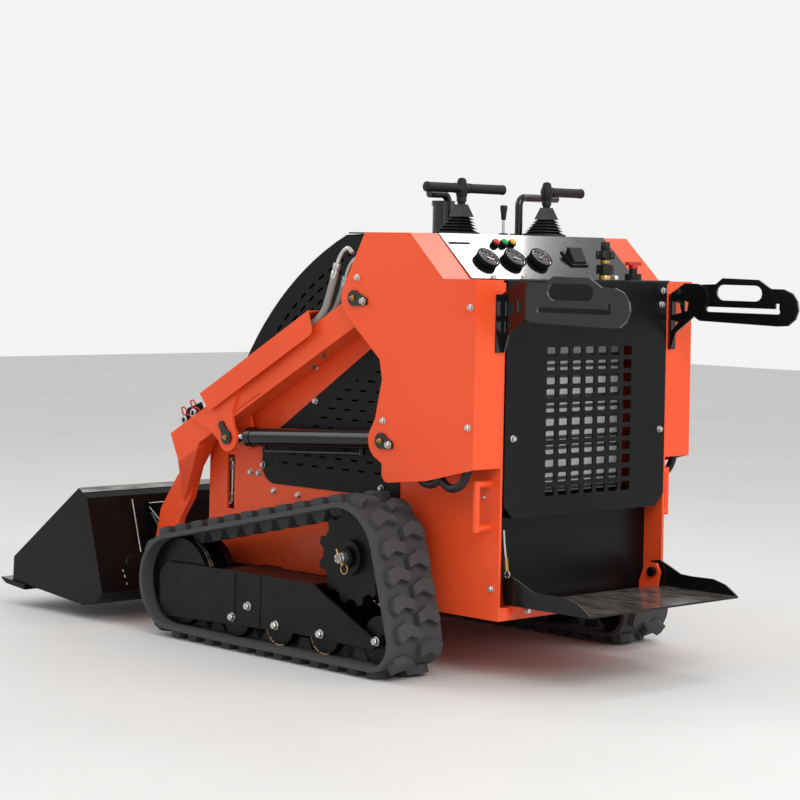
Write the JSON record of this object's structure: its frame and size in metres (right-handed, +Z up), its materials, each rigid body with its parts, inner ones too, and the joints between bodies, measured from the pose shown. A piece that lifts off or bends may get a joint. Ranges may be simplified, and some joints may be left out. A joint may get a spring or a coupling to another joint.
{
  "type": "tracked skid steer loader",
  "caption": "Stand-on compact loader on rubber tracks, with lift arms, a tilting bucket, a fold-up rear platform and hydraulic cylinders.",
  "frame": {"origin": "on the ground under the middle of the machine's length and width", "axes": "+X forward to the bucket, +Y to the machine's left, +Z up"},
  "size_m": [2.205, 1.05, 1.2381],
  "materials": {
    "orange_paint": "satin orange-red powder coat",
    "black_paint": "satin black powder coat",
    "running_gear": "black paint over cast and welded steel, dusty",
    "track_rubber": "moulded dark grey rubber",
    "control_plastic": "moulded black rubber and plastic",
    "rod_chrome": "ground and plated rod",
    "pin_steel": "oiled dark steel",
    "radiator_metal": "bare finned aluminium",
    "engine_iron": "plain mass in place of the power unit"
  },
  "bodies": {
    "chassis": {"side_plate_left": "orange_paint", "side_plate_right": "orange_paint", "floor_plate": "orange_paint", "front_plate": "orange_paint", "rear_panel": "black_paint", "lower_rear_panel": "black_paint", "tower_left": "orange_paint", "tower_right": "orange_paint", "dashboard": "black_paint", "gauges": "control_plastic", "hood": "black_paint", "side_guards": "black_paint", "engine_block": "engine_iron", "radiator": "radiator_metal", "joystick_left": "control_plastic", "joystick_right": "control_plastic", "hand_rests": "black_paint", "throttle_lever": "control_plastic", "valve_and_switch": "control_plastic", "armrest_left": "black_paint", "armrest_right": "black_paint", "tie_down_handles": "orange_paint", "chassis_pins": "pin_steel", "track_left": "track_rubber", "track_right": "track_rubber", "track_frame_left": "running_gear", "track_frame_right": "running_gear", "sprockets": "running_gear", "idlers": "running_gear", "rollers_left": "running_gear", "rollers_right": "running_gear", "drive_motors": "running_gear"},
    "arms": {"arm_left": "orange_paint", "arm_right": "orange_paint", "arm_leg_left": "orange_paint", "arm_leg_right": "orange_paint", "cross_tubes": "orange_paint", "hose_covers": "orange_paint", "aux_couplers": "black_paint", "arm_pins": "pin_steel"},
    "tool": {"quick_attach": "black_paint", "bucket": "black_paint", "cutting_edge": "black_paint"},
    "lift_barrel_left": {"lift_barrel_left": "black_paint"},
    "lift_barrel_right": {"lift_barrel_right": "black_paint"},
    "lift_rod_left": {"lift_rod_left": "rod_chrome"},
    "lift_rod_right": {"lift_rod_right": "rod_chrome"},
    "tilt_barrel": {"tilt_barrel": "black_paint"},
    "tilt_rod": {"tilt_rod": "rod_chrome"},
    "platform": {"platform": "black_paint"}
  },
  "joints": [
    {"name": "lift", "type": "hinge", "parent": "chassis", "child": "arms", "pos_m": [-0.2625, 0, 0.928], "axis": [0, -1, 0], "range_deg": [0, 80]},
    {"name": "tilt", "type": "hinge", "parent": "arms", "child": "tool", "pos_m": [0.5945, 0, 0.162], "axis": [0, 1, 0], "range_deg": [-20, 95]},
    {"name": "platform_fold", "type": "hinge", "parent": "chassis", "child": "platform", "pos_m": [-0.6985, 0, 0.23], "axis": [0, 1, 0], "range_deg": [0, 85]},
    {"name": "lift_barrel_left_swing", "type": "hinge", "parent": "chassis", "child": "lift_barrel_left", "pos_m": [-0.3725, 0.366, 0.574], "axis": [0, -1, 0], "range_deg": [0, 58]},
    {"name": "lift_rod_left_slide", "type": "slide", "parent": "lift_barrel_left", "child": "lift_rod_left", "axis": [0.9985, 0, -0.0557], "range_m": [0, 0.363]},
    {"name": "lift_barrel_right_swing", "type": "hinge", "parent": "chassis", "child": "lift_barrel_right", "pos_m": [-0.3725, -0.366, 0.574], "axis": [0, -1, 0], "range_deg": [0, 58]},
    {"name": "lift_rod_right_slide", "type": "slide", "parent": "lift_barrel_right", "child": "lift_rod_right", "axis": [0.9985, 0, -0.0557], "range_m": [0, 0.363]},
    {"name": "tilt_barrel_swing", "type": "hinge", "parent": "arms", "child": "tilt_barrel", "pos_m": [0.5015, 0, 0.557], "axis": [0, 1, 0], "range_deg": [-4.6, 1.8]},
    {"name": "tilt_rod_slide", "type": "slide", "parent": "tilt_barrel", "child": "tilt_rod", "axis": [0.3501, 0, -0.9367], "range_m": [-0.031, 0.135]}
  ],
  "couplings": [
    {"joint": "lift_barrel_left_swing", "follows": "lift", "ratio": 0.70716},
    {"joint": "lift_rod_left_slide", "follows": "lift", "m_per_rad": 0.25757},
    {"joint": "lift_barrel_right_swing", "follows": "lift", "ratio": 0.70716},
    {"joint": "lift_rod_right_slide", "follows": "lift", "m_per_rad": 0.25757},
    {"joint": "tilt_barrel_swing", "follows": "tilt", "ratio": -0.03775},
    {"joint": "tilt_rod_slide", "follows": "tilt", "m_per_rad": 0.079433}
  ]
}
